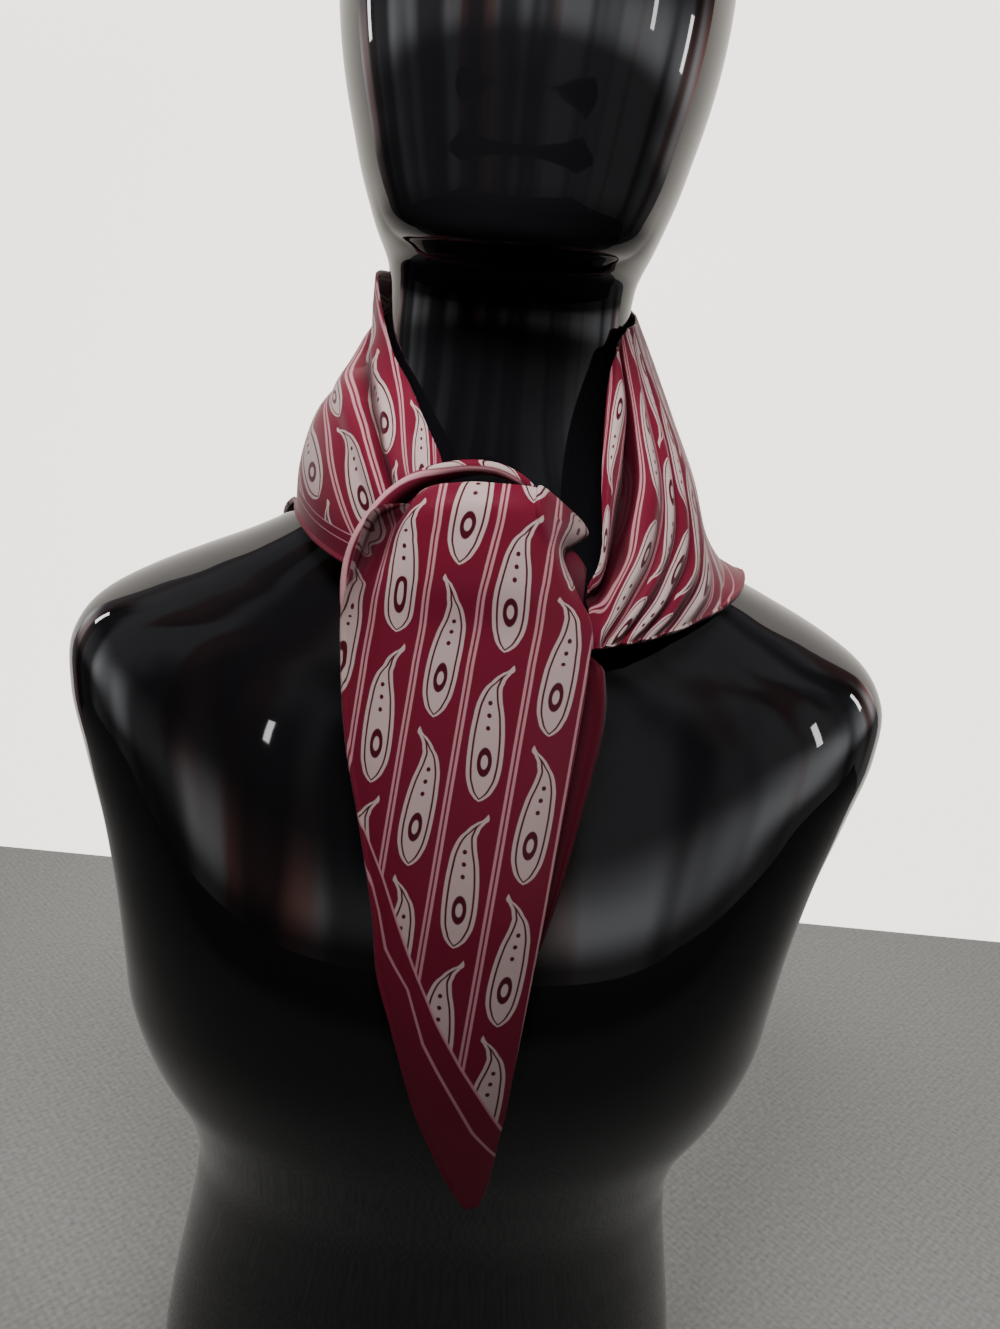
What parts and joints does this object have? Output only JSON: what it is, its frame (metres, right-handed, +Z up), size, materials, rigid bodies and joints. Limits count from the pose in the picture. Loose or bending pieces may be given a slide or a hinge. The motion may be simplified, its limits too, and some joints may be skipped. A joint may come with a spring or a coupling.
{
  "type": "silk scarf on a limbless display bust",
  "caption": "square silk scarf folded on the diagonal and looped at the throat of a glossy black headed display bust, one long end flipped over to hang in front",
  "frame": {"origin": "middle of the bounding box, at the underside of the bust", "axes": "+Z up, the face of the bust and the hanging end look along -Y, +X to the viewer's right"},
  "size_m": [0.4107, 0.2714, 0.8465],
  "materials": {
    "silk": "printed silk twill, burgundy with silver grey and pale pink, soft sheen",
    "form": "high gloss black"
  },
  "bodies": {
    "root": {"bust": "form", "collar_left": "silk", "collar_back": "silk", "collar_right": "silk", "knot_core": "silk", "tail_front": "silk", "tail_lip": "silk", "tail_rear": "silk"}
  },
  "joints": []
}
